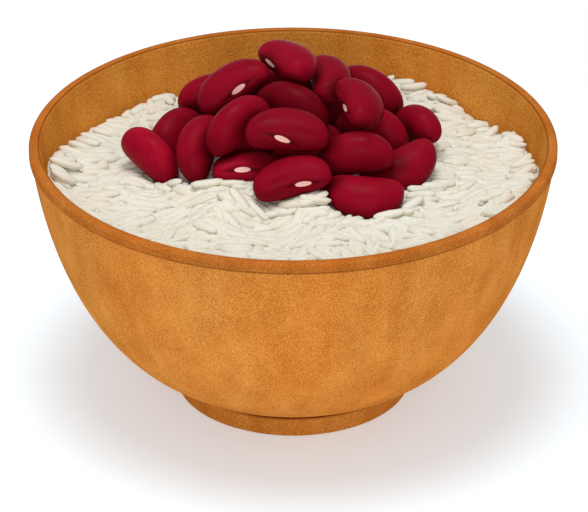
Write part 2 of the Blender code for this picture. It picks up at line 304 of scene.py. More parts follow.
def inside_radius(gap, level):
    """Radius of the inner wall at a level, moved inwards by a gap."""
    share = ((CURVE_TOP - level) / (CURVE_TOP - FLOOR_LEVEL - gap)) ** CURVE_RISE_POWER
    return (INSIDE_WIDEST - gap) * np.maximum(1 - share, 0) ** (1 / CURVE_RADIUS_POWER)


# %% The whole outline
def corner(middle, radius, first, last, count=7):
    """A quarter round: points on a circle between two angles in degrees."""
    angle = np.radians(np.linspace(first, last, count))
    return np.array(middle) + radius * np.stack([np.cos(angle), np.sin(angle)], 1)


def bowl_outline():
    """The outline as (r, z), from the middle of the base, up the outside and down the inside."""
    lip_level = BOWL_HEIGHT - LIP_HEIGHT
    inner_edge = RIM_RADIUS - RIM_WIDTH
    base = np.array([(0.0, 0.0), (FOOT_BASE_RADIUS / 2, 0.0)])
    foot = corner((FOOT_BASE_RADIUS - FOOT_ROUNDING, FOOT_ROUNDING), FOOT_ROUNDING, -90, 0)
    foot_top = np.array([(FOOT_TOP_RADIUS, FOOT_HEIGHT - FOOT_STEP[1]),
                         (FOOT_TOP_RADIUS - FOOT_STEP[0], FOOT_HEIGHT)])
    belly_start = FOOT_TOP_RADIUS - BELLY_INSET
    belly = wall_curve(OUTSIDE_WIDEST, OUTSIDE_BOTTOM, belly_start, lip_level, CURVE_COUNT)
    lip = np.array([(RIM_RADIUS - LIP_STEP[0], lip_level), (RIM_RADIUS, lip_level + LIP_STEP[1])])
    outer = corner((RIM_RADIUS - OUTER_ROUNDING, BOWL_HEIGHT - OUTER_ROUNDING), OUTER_ROUNDING, 0, 90)
    inner = corner((inner_edge + INNER_ROUNDING, BOWL_HEIGHT - INNER_ROUNDING), INNER_ROUNDING, 90, 180)
    inside_top = BOWL_HEIGHT - INNER_ROUNDING - INSIDE_START
    inside = wall_curve(INSIDE_WIDEST, FLOOR_LEVEL, 0.0, inside_top, CURVE_COUNT)[::-1]
    return np.concatenate([base, foot, foot_top, belly, lip, outer, inner, inside])


# %% Fine lines and turning marks
BOWL_ROWS = 300
BOWL_AROUND = 288
FINE_LINES = (   # radius, level, depth, width, and width of the painted shade along each line
    (RIM_RADIUS - RIM_WIDTH + 0.25 * MM, BOWL_HEIGHT, 0.26 * MM, 0.28 * MM, 0.34 * MM),
    (RIM_RADIUS - 0.5 * MM, BOWL_HEIGHT - LIP_HEIGHT, 0.30 * MM, 0.32 * MM, 0.50 * MM),
    (FOOT_TOP_RADIUS - 0.4 * MM, FOOT_HEIGHT, 0.60 * MM, 0.50 * MM, 1.00 * MM),
)
OUTLINE_SAMPLES = 6000
CROWDING = 9
CROWD_REACH = 3.5 * MM
MARK_DEPTH = 0.012 * MM
MARK_SPACING = 1.7 * MM
ZONE_BLUR = 0.15 * MM


def along_outline(points):
    """How far each point of an outline lies along it."""
    steps = np.linalg.norm(np.diff(points, axis=0), axis=1)
    return np.concatenate([[0.0], np.cumsum(steps)])


def spaced_outline(points, places):
    """The outline at BOWL_ROWS points that crowd round the given places along it."""
    walked = along_outline(points)
    fine = np.linspace(0, walked[-1], OUTLINE_SAMPLES)
    crowd = 1 + CROWDING * sum(np.exp(-((fine - place) / CROWD_REACH) ** 2) for place in places)
    share = np.cumsum(crowd)
    chosen = np.interp(np.linspace(share[0], share[-1], BOWL_ROWS), share, fine)
    return chosen, np.stack([np.interp(chosen, walked, points[:, k]) for k in (0, 1)], 1)


def past(walked, place):
    """0 before a place along the outline and 1 past it: 1 / (1 + e^((place - walked) / blur))."""
    return 1 / (1 + np.exp((place - walked) / ZONE_BLUR))


def cut_outline():
    """The outline with its lines and turning marks cut in along its normal, and its zones.

    A line is as deep as depth * e^(-(d / width)^2) at the distance d from its place, and the
    gouge's marks are a sine along the outline. Each zone is a share from 0 to 1.
    """
    outline = bowl_outline()
    walked = along_outline(outline)
    places = [walked[np.argmin(np.hypot(*(outline - (r, z)).T))] for r, z, *_ in FINE_LINES]
    chosen, points = spaced_outline(outline, places)
    slope = np.gradient(points, chosen, axis=0)
    outwards = np.stack([slope[:, 1], -slope[:, 0]], 1)
    outwards /= np.linalg.norm(outwards, axis=1)[:, None]
    cut = MARK_DEPTH * (1 + np.sin(chosen / MARK_SPACING * 2 * math.pi))
    line = np.zeros(len(chosen))
    for place, (_, _, depth, width, shade_width) in zip(places, FINE_LINES):
        cut += depth * np.exp(-((chosen - place) / width) ** 2)
        # painted shade along each cut line, a little wider than the cut
        line = np.maximum(line, np.exp(-((chosen - place) / shade_width) ** 4))
    points = points - outwards * cut[:, None]
    points[:, 1] = np.clip(points[:, 1], 0, BOWL_HEIGHT)
    inner_edge, lip, foot_top = places
    zones = {
        "line": line,
        "foot": 1 - past(chosen, foot_top),
        "rim": past(chosen, lip) * (1 - past(chosen, inner_edge)),
        "inside": past(chosen, inner_edge),
    }
    print("bowl: lines cut at", [round(place / MM, 1) for place in places], "mm along the outline")
    return points, zones


# %% The turned bowl
def make_bowl(material):
    """The cut outline turned about Z, with its zones painted on it."""
    points, zones = cut_outline()
    turn = compass(BOWL_AROUND)
    body = points[1:-1]
    rings = np.empty((1, len(body), BOWL_AROUND, 3))
    rings[0, :, :, :2] = body[:, None, :1] * turn[None]
    rings[0, :, :, 2] = body[:, None, 1]
    tips = np.array([[(0, 0, points[0, 1]), (0, 0, points[-1, 1])]])
    mesh = closed_rounds("bowl_turned", rings, tips)
    for name, share in zones.items():
        around = np.repeat(share[1:-1, None], BOWL_AROUND, 1)[None]
        paint(mesh, name, around, np.array([[share[0], share[-1]]]))
    print("bowl:", len(mesh.polygons), "faces")
    show(mesh, material, "bowl")


# %% [markdown]
# ## Wood
#
# The bowl is a warm orange wood with hardly any figure: faint upright streaks, cloudy patches
# a few millimetres wide, and a fine fleck all over. Some broad upright patches are warmer than
# the rest. The rim and the foot are darker and redder, the inside is browner, and the cut lines
# are darkened with painted shade. Rings of a trunk could be drawn through the whole bowl, but
# this wood shows none, so stretched and plain patches are mixed, and the zones are painted numbers.

# %% Colours of the wood
WOOD_LIGHT = (0.780, 0.322, 0.070)
WOOD_DARK = (0.460, 0.146, 0.0195)
WOOD_LINE_SHADE = (0.180, 0.045, 0.008)
WARM_TINT = (1.00, 0.86, 0.72)
ZONE_TINTS = {
    "rim": (0.73, 0.625, 0.57),
    "inside": (0.98, 1.08, 0.95),
    "foot": (0.84, 0.82, 0.74),
}
WOOD_ROUGHNESS = 0.62
UPRIGHT = (1.0, 1.0, 0.16)
STREAKS = (150.0, 0.9)     # scale and amount of each pattern
WOOD_CLOUDS = (90.0, 0.8)
WOOD_FLECKS = (2900.0, 2.2)
WARMTH = (60.0, 3.0)
LINE_SHADE_SHARE = 0.80
STREAK_RELIEF = 0.6
WOOD_BUMP = (0.35, 0.12 * MM)


# %% Wood finish
def make_wood():
    """Streaks, patches and flecks move the colour between the light and the dark of the wood."""
    made, tree, shader, place = new_finish("turned_wood", WOOD_ROUGHNESS, 0.0)
    upright = stretched(tree, place, UPRIGHT)
    streaks = place_group(tree, PATCHES, upright, *STREAKS)
    clouds = place_group(tree, PATCHES, place, *WOOD_CLOUDS)
    flecks = place_group(tree, SPECKS, place, *WOOD_FLECKS)
    warmth = place_group(tree, PATCHES, upright, *WARMTH)
    colour = blend_colour(tree, mix_share(tree, streaks, clouds, flecks), WOOD_DARK, WOOD_LIGHT)
    colour = tinted(tree, calculate(tree, "SUBTRACT", warmth, 0.5), colour, WARM_TINT)
    for name, tint in ZONE_TINTS.items():
        colour = tinted(tree, attribute(tree, name), colour, tint)
    # painted shade darkens the cut lines
    line = calculate(tree, "MULTIPLY", attribute(tree, "line"), LINE_SHADE_SHARE)
    colour = blend_colour(tree, line, colour, WOOD_LINE_SHADE)
    tree.links.new(colour, shader.inputs["Base Color"])
    grain = calculate(tree, "ADD", flecks, calculate(tree, "MULTIPLY", streaks, STREAK_RELIEF))
    bump(tree, shader, grain, *WOOD_BUMP)
    print("wood:", len(tree.nodes), "nodes")
    return made


WOOD = make_wood()
make_bowl(WOOD)

# %% [markdown]
# ## Kidney beans
#
# A kidney bean is a squared-up ellipsoid whose two ends bend towards the side of its eye, the
# pale scar where it hung in the pod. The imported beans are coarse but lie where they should.
# Subdivision would smooth and shrink them, so each fine bean is a new form that only reads its
# place from its node: the three main directions of the node's corners are the bean's length,
# width and thickness, and the bend tells which side the eye is on. The eye lies in a shallow
# hollow, on the seam along the bean. Each skin gets its own dents, so no two beans are alike.

# %% Size and bend of the beans
BEAN_LENGTH = 19.6 * MM
BEAN_WIDTH = 11.3 * MM
BEAN_THICKNESS = 9.1 * MM
BEAN_BEND = 2.2 * MM
BEAN_FULLNESS = 2.5
BEND_MIDDLE = 0.35
CORNER_DIGITS = 7


# %% Where each bean lies
def node_corners(node):
    """The node's corners in metres, each only once."""
    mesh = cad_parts[node].data
    corners = np.empty(len(mesh.vertices) * 3)
    mesh.vertices.foreach_get("co", corners)
    return np.unique(np.round(corners.reshape(-1, 3), CORNER_DIGITS), axis=0)


def bean_place(node):
    """Middle, directions (as columns: length, width, thickness) and size of the bean in a node."""
    corners = node_corners(node)
    middle = corners.mean(0)
    _, directions = np.linalg.eigh(np.cov((corners - middle).T))
    length = directions[:, 2]
    thickness = directions[:, 0]
    width = np.cross(thickness, length)
    local = (corners - middle) @ np.stack([length, width, thickness], 1)
    if np.mean(local[:, 0] ** 2 * local[:, 1]) > 0:   # the ends are to bend to -width
        width = -width
        thickness = -thickness
    size = np.ptp(local[:, 0]) / BEAN_LENGTH
    along = local[:, 0] / (BEAN_LENGTH * size / 2)
    middle = middle + width * BEAN_BEND * size * (np.mean(along ** 2) - BEND_MIDDLE)
    return middle, np.stack([length, width, thickness], 1), size


BEAN_NODES = sorted(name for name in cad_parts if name.startswith("bean_"))
BEANS = [bean_place(node) for node in BEAN_NODES]
sizes = [size for _, _, size in BEANS]
print("beans:", len(BEANS), "of size", round(min(sizes), 3), "to", round(max(sizes), 3))

# %% How near the beans are to each other
FAR_AWAY = 1.0
BEND_LIMIT = 1.3
NOT_ZERO = 1e-12


def bean_depth(points, bean):
    """How far points lie inside a bean's skin, and the outward direction there."""
    middle, directions, size = bean
    half = np.array([BEAN_LENGTH, BEAN_WIDTH, BEAN_THICKNESS]) * size / 2
    local = (points - middle) @ directions
    share = local[..., 0] / half[0]
    bent = local[..., 1] + BEAN_BEND * size * (np.minimum(share ** 2, BEND_LIMIT) - BEND_MIDDLE)
    section = (bent / half[1]) ** 2 + (local[..., 2] / half[2]) ** 2
    measure = (np.abs(share) ** BEAN_FULLNESS + section ** (BEAN_FULLNESS / 2)) ** (1 / BEAN_FULLNESS)
    outward = local / half ** 2
    outward /= np.linalg.norm(outward, axis=-1, keepdims=True) + NOT_ZERO
    depth = (1 - measure) * half[1]
    return depth, outward @ directions.T


def gap_to_beans(points, own=None):
    """About how far points lie from the nearest bean other than their own."""
    gap = np.full(points.shape[:-1], FAR_AWAY)
    for bean in BEANS:
        if own is not None and (bean is own or np.linalg.norm(bean[0] - own[0]) > 2 * BEAN_LENGTH):
            continue
        depth, _ = bean_depth(points, bean)
        gap = np.minimum(gap, -depth)
    return gap


# %% Eyes, dents and tones
EYE_PLACES = {   # millimetres along the bean to the right, degrees up round its section, and its tilt
    "bean_01": (-1.8, -10.0, -8.0),
    "bean_03": (0.9, 18.0, 8.0),
    "bean_09": (-1.0, 20.0, -19.0),
    "bean_11": (2.5, -2.0, 10.0),
    "bean_18": (2.5, 9.0, -6.0),
    "bean_19": (-2.5, 18.0, 3.0),
}
EYE_HALF = (2.05 * MM, 0.68 * MM)
EYE_EDGE = (0.7, 1.2)
EYE_RISE = 0.14 * MM
HOLLOW_HALF = (4.4 * MM, 1.6 * MM)
HOLLOW_EDGE = (0.1, 1.0)
HOLLOW_DEPTH = 0.30 * MM
# how much painted shade lies in the eye's hollow; the seam gets it in full
HOLLOW_SHADE = 0.65
SEAM_HALF = (6.8 * MM, 0.70 * MM)
SEAM_EDGE = (0.45, 1.0)
SEAM_DEPTH = 0.10 * MM
OTHER_SIDE = 9.0
NO_EYE = 3.0
DENT = 0.012
DENT_WAVES = 4
DENT_BENDS = (1.2, 2.6)
BEAN_TONES_AND_SHADE = {   # how bright the seen beans are: partly painted shade for their places in the heap, partly their own tone
    "bean_01": 0.69, "bean_02": 0.58, "bean_03": 0.60, "bean_04": 0.67, "bean_05": 0.53,
    "bean_06": 0.93, "bean_07": 0.64, "bean_08": 0.64, "bean_09": 0.47, "bean_10": 0.26,
    "bean_11": 0.52, "bean_12": 0.58, "bean_13": 0.60, "bean_14": 0.66, "bean_15": 0.57,
    "bean_16": 0.62, "bean_17": 0.72, "bean_18": 0.61, "bean_19": 0.86,
}
OTHER_TONES = (0.50, 0.74)


# %% Where an eye lies
def soft_step(value, low, high):
    """0 below low and 1 above high, with a smooth S between them."""
    share = np.clip((value - low) / (high - low), 0, 1)
    return share * share * (3 - 2 * share)


def eye_place(node, bean):
    """Where a bean's eye lies along its length and round its section from -y, and how it is tilted."""
    _, directions, _ = bean
    aside, up, tilt = EYE_PLACES.get(node, (0.0, 0.0, 0.0))
    to_right, to_top = np.sign(directions[0, 0]), np.sign(directions[2, 2])
    return aside * MM * to_right, -math.radians(up) * to_top, math.radians(tilt) * to_right * to_top


def oval(long_way, short_way, half, ahead):
    """0 in the middle of an oval and 1 on its edge, and far more on the bean's other side."""
    return np.hypot(long_way / half[0], short_way / half[1]) + OTHER_SIDE * (ahead <= 0)


# %% Form of one bean
BEAN_ROWS = 60
BEAN_AROUND = 80


def dented(x, y, z, chance):
    """A factor for each point of a unit form: a few slow waves that swell and dent it."""
    dents = np.zeros_like(x)
    for _ in range(DENT_WAVES):
        heading = chance.normal(size=3)
        heading *= chance.uniform(*DENT_BENDS) / np.linalg.norm(heading)
        wave = heading[0] * x + heading[1] * y + heading[2] * z
        dents += np.sin(wave + chance.uniform(0, 2 * math.pi)) * DENT
    return 1 + dents - DENT * DENT_WAVES / 2


def bean_skin(size, eye_along, eye_at, eye_tilt, chance):
    """Points of a bean in its own axes, with how far off the eye is and the painted shade in its hollow
    and along its seam.

    The round section falls from the middle to the ends as (1 - |t|^p)^(1/p), and both ends
    bend to -y by the square of t, the share of the half length.
    """
    tilt = np.linspace(0, math.pi, BEAN_ROWS + 2)[:, None]
    turn = round_turn(BEAN_AROUND)[None, :]
    along = -np.cos(tilt) + 0 * turn
    round_share = np.maximum(1 - np.abs(along) ** BEAN_FULLNESS, 0) ** (1 / BEAN_FULLNESS)
    unit_y = round_share * np.cos(turn)
    unit_z = round_share * np.sin(turn)
    full = dented(along, unit_y, unit_z, chance)
    half = np.array([BEAN_LENGTH, BEAN_WIDTH, BEAN_THICKNESS]) * size / 2
    x = half[0] * along * full
    y = half[1] * unit_y * full - BEAN_BEND * size * (along ** 2 - BEND_MIDDLE)
    z = half[2] * unit_z * full
    ahead = -unit_y * math.cos(eye_at) - unit_z * math.sin(eye_at)
    aside = half[2] * (unit_z * math.cos(eye_at) - unit_y * math.sin(eye_at))
    long_way = (x - eye_along) * math.cos(eye_tilt) + aside * math.sin(eye_tilt)
    short_way = aside * math.cos(eye_tilt) - (x - eye_along) * math.sin(eye_tilt)
    from_eye = oval(long_way, short_way, EYE_HALF, ahead)
    eye = 1 - soft_step(from_eye, *EYE_EDGE)
    hollow = 1 - soft_step(oval(long_way, short_way, HOLLOW_HALF, ahead), *HOLLOW_EDGE)
    seam = 1 - soft_step(oval(long_way, short_way, SEAM_HALF, ahead), *SEAM_EDGE)
    inwards = hollow * HOLLOW_DEPTH + seam * SEAM_DEPTH - eye * EYE_RISE
    y += inwards * math.cos(eye_at)
    z += inwards * math.sin(eye_at)
    # the third value is the painted shade of the hollow and of the seam's groove
    return np.stack([x, y, z], -1), np.minimum(from_eye, NO_EYE), np.maximum(hollow * HOLLOW_SHADE, seam)


# %% One bean in its place
# painted shade where another bean comes near, and on each bean's underside
SHADE_GAP = (0.3 * MM, 2.6 * MM)
UNDERSIDE_SHADE_SHARE = 0.55
UNDERSIDE_SHADE_EDGE = (-0.3, 1.1)


def make_bean(node, bean, material, chance):
    """One bean, turned and moved to its place, with its eye, hollow, tone and painted shade on it."""
    middle, directions, size = bean
    points, from_eye, hollow = bean_skin(size, *eye_place(node, bean), chance)
    placed = points @ directions.T + middle
    rings = placed[None, 1:-1]
    tips = np.stack([placed[0, 0], placed[-1, 0]])[None]
    mesh = closed_rounds(node.replace("bean", "kidney_bean"), rings, tips)
    paint(mesh, "from_eye", from_eye[None, 1:-1], np.full((1, 2), NO_EYE))
    paint(mesh, "hollow", hollow[None, 1:-1], np.zeros((1, 2)))
    # painted shade where another bean is near and on the underside
    painted_shade = 1 - soft_step(gap_to_beans(placed, bean), *SHADE_GAP)
    underside_shade = soft_step((middle[2] - placed[..., 2]) / (BEAN_WIDTH / 2), *UNDERSIDE_SHADE_EDGE)
    painted_shade = np.maximum(painted_shade, UNDERSIDE_SHADE_SHARE * underside_shade)
    paint(mesh, "painted_shade", painted_shade[None, 1:-1], painted_shade[[0, -1], 0][None])
    # a seen bean's tone also holds painted shade for its place in the heap
    tone = BEAN_TONES_AND_SHADE.get(node, chance.uniform(*OTHER_TONES))
    paint(mesh, "tone", np.full((1, BEAN_ROWS, BEAN_AROUND), tone), np.full((1, 2), tone))
    show(mesh, material, node)
    return placed.reshape(-1, 3)


# %% [markdown]
# ## Bean skin
#
# Cooked beans are a deep wine red, darker on some than on others, with a cloudy bloom and a
# soft sheen from the cooking water. How dark each seen bean is comes partly from its own tone
# and partly from painted shade for where it lies in the heap. The eye is a pale pinkish cream,
# and the skin round it and along the seam is painted almost black, as shade in the hollow and
# the groove there. In a soft light beans of one colour melt together, so painted shade also
# darkens the skin where two beans nearly meet and on their undersides. All of this follows
# the form of each bean, so it is painted on the mesh as numbers that the material reads.

# %% Colours of the skin
SKIN_LIGHT = (0.390, 0.0042, 0.0235)
SKIN_DARK = (0.260, 0.0028, 0.0145)
# the dark red of painted shade, and the dark end of each bean's tone
SKIN_SHADE = (0.070, 0.0006, 0.0025)
EYE_COLOUR = (1.000, 0.670, 0.585)
EYE_FRECKLE = (0.880, 0.440, 0.380)
SKIN_ROUGHNESS = 0.40
SKIN_SPECULAR = 0.025
SKIN_CLOUDS = (190.0, 1.6)   # scale and amount of each pattern
SKIN_FLECKS = (1900.0, 0.7)
HOLLOW_SHADE_SHARE = 0.85
PAINTED_SHADE_SHARE = 0.8
EYE_BORDER = (0.93, 1.05)
FRECKLE_SHARE = 0.5
SKIN_BUMP = (0.25, 0.15 * MM)


# %% Skin finish
def make_skin():
    """Clouds and each bean's tone, partly painted shade, move the red, more painted shade darkens it, and
    the painted eye goes over it.
    """
    made, tree, shader, place = new_finish("bean_skin", SKIN_ROUGHNESS, SKIN_SPECULAR)
    clouds = place_group(tree, PATCHES, place, *SKIN_CLOUDS)
    flecks = place_group(tree, SPECKS, place, *SKIN_FLECKS)
    colour = blend_colour(tree, mix_share(tree, clouds, flecks), SKIN_DARK, SKIN_LIGHT)
    # each bean's tone, partly painted shade, moves the red towards the dark
    colour = blend_colour(tree, attribute(tree, "tone"), SKIN_SHADE, colour)
    # painted shade in the eye's hollow and along the seam
    hollow_shade = calculate(tree, "MULTIPLY", attribute(tree, "hollow"), HOLLOW_SHADE_SHARE)
    # painted shade where beans nearly meet and on their undersides
    painted_shade = calculate(tree, "MULTIPLY", attribute(tree, "painted_shade"), PAINTED_SHADE_SHARE)
    colour = blend_colour(tree, calculate(tree, "MAXIMUM", hollow_shade, painted_shade), colour, SKIN_SHADE)
    edge = add_node(tree, "ShaderNodeMapRange", values={
        "From Min": EYE_BORDER[0], "From Max": EYE_BORDER[1], "To Min": 1.0, "To Max": 0.0})
    tree.links.new(attribute(tree, "from_eye"), edge.inputs["Value"])
    freckles = calculate(tree, "MULTIPLY", flecks, FRECKLE_SHARE)
    colour = blend_colour(tree, edge.outputs[0], colour,
                          blend_colour(tree, freckles, EYE_COLOUR, EYE_FRECKLE))
    tree.links.new(colour, shader.inputs["Base Color"])
    tree.links.new(calculate(tree, "MULTIPLY", clouds, SKIN_ROUGHNESS), shader.inputs["Roughness"])
    bump(tree, shader, calculate(tree, "ADD", clouds, flecks), *SKIN_BUMP)
    print("bean skin:", len(tree.nodes), "nodes")
    return made


SKIN = make_skin()
BEAN_SEED = 21
bean_chance = np.random.RandomState(BEAN_SEED)
BEAN_POINTS = np.concatenate([
    make_bean(node, bean, SKIN, bean_chance) for node, bean in zip(BEAN_NODES, BEANS)
])
print("bean corners:", len(BEAN_POINTS))

# %% [markdown]
# ## Cooked rice
#
# A heap of rice is thousands of grains, of which only the top ones are seen. Dropping real
# grains into the bowl would be slow and never fall the same way twice, so a core fills the
# bowl to just below the surface and gives the heap its low hump, and three thin layers of
# grains cover it. Loose grains lie on top at the feet of the beans, and along the wall at the
# sides and the back.

# %% Surface of the heap
RICE_LEVEL = 58.0 * MM
RICE_FALL_BACK = 0.06
RICE_FALL_LEFT = 0.015
RICE_HUMP = 5.5 * MM
HUMP_MIDDLE = (-1.0 * MM, 8.0 * MM)
HUMP_REACH = (44.0 * MM, 38.0 * MM)
RICE_BANKS = MM * np.array([   # x and y of the middle, reach both ways, and height
    (-12, -17, 17, 8, 2.4),
    (-62, 2, 9, 24, 5.5),
    (62, -10, 12, 15, 2.6),
    (29, 51, 12, 12, 2.6),
])
RICE_BUMP_HEIGHT = 0.4 * MM


def draw_waves(seed, count, spacings):
    """Straight waves for a bumpy surface: bearing, spacing and start of each."""
    chance = np.random.RandomState(seed)
    waves = []
    for _ in range(count):
        spacing = chance.uniform(*spacings)
        waves.append((chance.uniform(0, math.pi), spacing, chance.uniform(0, 2 * math.pi)))
    return waves


def ripple(x, y, waves):
    """The sum of the waves at x and y, each of height 1."""
    total = 0 * x
    for bearing, spacing, start in waves:
        along = x * math.cos(bearing) + y * math.sin(bearing)
        total = total + np.sin(2 * math.pi * along / spacing + start)
    return total


HEAP_WAVES = draw_waves(seed=7, count=6, spacings=(14.0 * MM, 32.0 * MM))


def rice_level(x, y):
    """Height of the rice: a sloping level, four banks, a rounded hump and low bumps."""
    level = RICE_LEVEL - RICE_FALL_BACK * y + RICE_FALL_LEFT * x
    for bank_x, bank_y, reach_x, reach_y, height in RICE_BANKS:
        level = level + height * np.exp(-((x - bank_x) / reach_x) ** 2 - ((y - bank_y) / reach_y) ** 2)
    hump = 1 - ((x - HUMP_MIDDLE[0]) / HUMP_REACH[0]) ** 2 - ((y - HUMP_MIDDLE[1]) / HUMP_REACH[1]) ** 2
    return level + RICE_HUMP * np.maximum(hump, 0) + RICE_BUMP_HEIGHT * ripple(x, y, HEAP_WAVES)


# %% Room under the beans
CELL = 1.0 * MM
HALF_CELLS = 70
BEAN_CLEARANCE = 0.5 * MM


def cell_number(values):
    """The row or column of the grid in which each value lies."""
    return np.clip(np.floor(values / CELL).astype(int) + HALF_CELLS, 0, 2 * HALF_CELLS - 1)


def lowest_beans():
    """A square grid of cells with the lowest bean skin over each, one cell wider all round."""
    grid = np.full((2 * HALF_CELLS, 2 * HALF_CELLS), np.inf)
    cell = cell_number(BEAN_POINTS[:, :2])
    for shift_x in (-1, 0, 1):
        for shift_y in (-1, 0, 1):
            np.minimum.at(grid, (cell[:, 0] + shift_x, cell[:, 1] + shift_y), BEAN_POINTS[:, 2])
    return grid


UNDER_BEANS = lowest_beans()
print("cells under beans:", np.isfinite(UNDER_BEANS).sum())


def below_beans(x, y):
    """Height of the lowest bean over x and y, or infinity where there is none."""
    return UNDER_BEANS[cell_number(x), cell_number(y)]


# %% The core
CORE_DEPTH = 1.0 * MM
CORE_GAP = 0.5 * MM
CORE_WALL_TOP = 50.0 * MM
CORE_WALL_ROWS = 16
CORE_TOP_ROWS = 84
CORE_AROUND = 320
CORE_EDGE_ROUNDS = 4
CORE_RELIEF = 0.20 * MM
CORE_WAVES = draw_waves(seed=3, count=9, spacings=(2.6 * MM, 5.5 * MM))
CORE_TONE = 0.4
CORE_SHADE = 0.8


def core_edge(turn):
    """Radius and level of the core's edge on the bowl's wall, at each direction."""
    radius = np.full(len(turn), inside_radius(CORE_GAP, RICE_LEVEL))
    for _ in range(CORE_EDGE_ROUNDS):
        level = rice_level(radius * turn[:, 0], radius * turn[:, 1]) - CORE_DEPTH
        radius = inside_radius(CORE_GAP, level)
    return radius, level


def make_core(material):
    """The heap below its grains: up the bowl's wall, then in across a top with fine relief."""
    turn = compass(CORE_AROUND)
    wall = wall_curve(INSIDE_WIDEST - CORE_GAP, FLOOR_LEVEL + CORE_GAP, 0.0, CORE_WALL_TOP, CORE_WALL_ROWS)
    edge_radius, edge_level = core_edge(turn)
    shares = np.linspace(1, 0, CORE_TOP_ROWS + 1)[:-1]
    radius = np.concatenate([np.repeat(wall[1:, :1], CORE_AROUND, 1), shares[:, None] * edge_radius])
    rings = np.empty((1, len(radius), CORE_AROUND, 3))
    rings[0, :, :, :2] = radius[:, :, None] * turn[None]
    x, y = rings[0, :, :, 0], rings[0, :, :, 1]
    top = rice_level(x, y) - CORE_DEPTH + CORE_RELIEF * ripple(x, y, CORE_WAVES)
    top = np.minimum(top, below_beans(x, y) - BEAN_CLEARANCE)
    walls = len(wall) - 1
    rings[0, :walls, :, 2] = wall[1:, 1][:, None]
    rings[0, walls:, :, 2] = top[walls:]
    rings[0, walls, :, 2] = edge_level
    middle = float(rings[0, -1, :, 2].mean())
    tips = np.array([[(0, 0, wall[0, 1]), (0, 0, middle)]])
    mesh = closed_rounds("rice_core", rings, tips)
    # the core is painted mostly with the creases' shade
    for name, value in (("tone", CORE_TONE), ("depth", CORE_SHADE)):
        paint(mesh, name, np.full(rings.shape[:3], value), np.full((1, 2), value))
    print("rice core:", len(mesh.polygons), "faces")
    show(mesh, material, "rice")


# %% [markdown]
# ## Grains
#
# A grain of cooked rice is a short spindle with blunt ends, a little flat and a little bent.
# Copies of one grain would be cheaper, but each grain here has its own size and bend. Whole,
# bent and broken grains are three pieces. The grains of a layer start on a staggered grid
# with a jitter, which covers evenly and looks loose, and lie along the heap's slope, in
# headings that swing slowly over it. A grain that would reach into a bean or the wall is
# pushed out of it, sideways and a little up, as a real grain settles.

# %% Form of the grains
GRAIN_ALONG = np.array([-0.93, -0.66, 0.0, 0.66, 0.93])
GRAIN_AROUND = 8
BEND_BALANCE = 0.4


def grain_forms(half, bend, blunt):
    """Rings and tips of many grains in their own axes, from half sizes (n, 3) and bends (n).

    The radius falls from the middle to the tips as (1 - |t|^blunt)^0.5, and the grain bends
    sideways by the square of t, its share of the half length.
    """
    swell = np.sqrt(1 - np.abs(GRAIN_ALONG)[None] ** blunt[:, None])
    turn = round_turn(GRAIN_AROUND)
    rings = np.empty((len(half), len(GRAIN_ALONG), GRAIN_AROUND, 3))
    rings[..., 0] = half[:, 0, None, None] * GRAIN_ALONG[None, :, None]
    sideways = bend[:, None] * (GRAIN_ALONG[None] ** 2 - BEND_BALANCE)
    rings[..., 1] = half[:, 1, None, None] * swell[..., None] * np.cos(turn) + sideways[..., None]
    rings[..., 2] = half[:, 2, None, None] * swell[..., None] * np.sin(turn)
    tips = np.zeros((len(half), 2, 3))
    tips[:, 0, 0] = -half[:, 0]
    tips[:, 1, 0] = half[:, 0]
    tips[:, :, 1] = (bend * (1 - BEND_BALANCE))[:, None]
    return rings, tips


# %% Layers of grains
LAYERS = (   # three that cover the core, then loose grains at the beans and at the wall
    {"height": -0.50 * MM, "spread": 0.05 * MM, "spacing": 2.8 * MM, "tilt": 2.0},
    {"height": -0.10 * MM, "spread": 0.10 * MM, "spacing": 3.1 * MM, "tilt": 3.0},
    {"height": 0.10 * MM, "spread": 0.12 * MM, "spacing": 5.6 * MM, "tilt": 4.0},
    {"height": 0.90 * MM, "spread": 0.25 * MM, "spacing": 2.8 * MM, "tilt": 8.0,
     "at_beans": (0.2 * MM, 2.2 * MM)},
    {"height": 0.70 * MM, "spread": 0.25 * MM, "spacing": 4.6 * MM, "tilt": 8.0,
     "at_wall": (0.8 * MM, 3.6 * MM)},
)
WALL_GRAINS_FROM = -2.0 * MM
CLUMP_HEIGHT = 0.11 * MM
CLUMP_WAVES = draw_waves(seed=11, count=6, spacings=(6.0 * MM, 13.0 * MM))
HEADING_WAVES = draw_waves(seed=4, count=4, spacings=(18.0 * MM, 40.0 * MM))
HEADING_SWING = math.radians(22)
HEADING_SPREAD = math.radians(20)
WALL_HEADING_SPREAD = math.radians(45)


# %% Places and directions of the grains
ROW_SPACING = 0.87
SLOPE_STEP = 0.5 * MM


def staggered_places(spacing, reach, chance):
    """Points of a staggered grid inside a circle, each moved by up to half a spacing both ways."""
    count = int(reach / spacing) + 2
    column, row = np.meshgrid(np.arange(-count, count + 1), np.arange(-count, count + 1))
    x = (column + 0.5 * (row % 2)).ravel() * spacing
    y = row.ravel() * spacing * ROW_SPACING
    x = x + chance.uniform(-0.5, 0.5, len(x)) * spacing
    y = y + chance.uniform(-0.5, 0.5, len(y)) * spacing
    kept = np.hypot(x, y) < reach
    return x[kept], y[kept]


